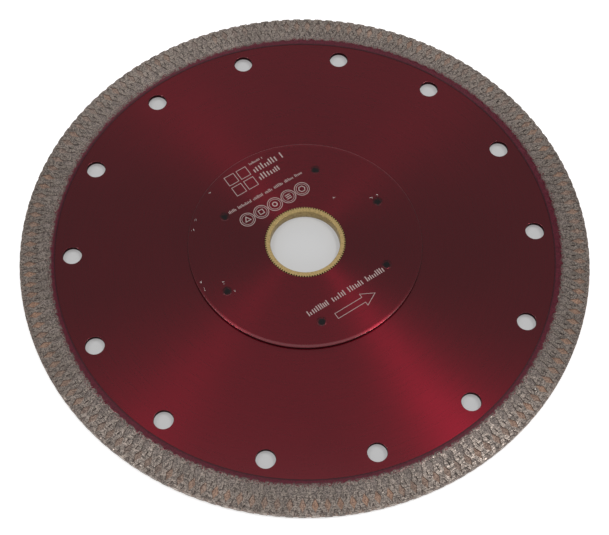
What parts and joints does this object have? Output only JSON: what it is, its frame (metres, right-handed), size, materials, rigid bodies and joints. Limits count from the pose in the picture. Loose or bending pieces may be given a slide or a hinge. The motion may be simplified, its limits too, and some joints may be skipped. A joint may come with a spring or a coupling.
{
  "type": "diamond blade",
  "caption": "Thin round diamond blade with a sintered mesh-relief rim, red lacquered steel core, raised hub flanges and a knurled brass reducer bush.",
  "frame": {"origin": "on the arbor axis, at the mid-plane of the blade's thickness", "axes": "+Z along the arbor axis, out of the marked front face; +X and +Y lie in the blade's plane, with the first cooling hole 4.85 degrees from +X towards +Y"},
  "size_m": [0.18, 0.18, 0.0034],
  "materials": {
    "lacquered_steel": "transparent red lacquer over circularly brushed steel",
    "weld_metal": "heat-darkened spot weld under the lacquer",
    "sintered_matrix": "granular bronze and iron sinter with diamond grit",
    "sintered_base": "granular grey sinter without diamonds, red lacquer on its shoulder",
    "bush_brass": "machined, straight knurl outside"
  },
  "bodies": {
    "blade": {"steel_core": "lacquered_steel", "front_flange_disc": "lacquered_steel", "rear_flange_disc": "lacquered_steel", "spot_welds": "weld_metal", "rim_base_ring": "sintered_base", "diamond_rim": "sintered_matrix"},
    "bush": {"reducer_bush": "bush_brass"}
  },
  "joints": [
    {"name": "bush_slide", "type": "slide", "parent": "blade", "child": "bush", "axis": [0, 0, 1], "range_m": [0, 0.01]}
  ]
}
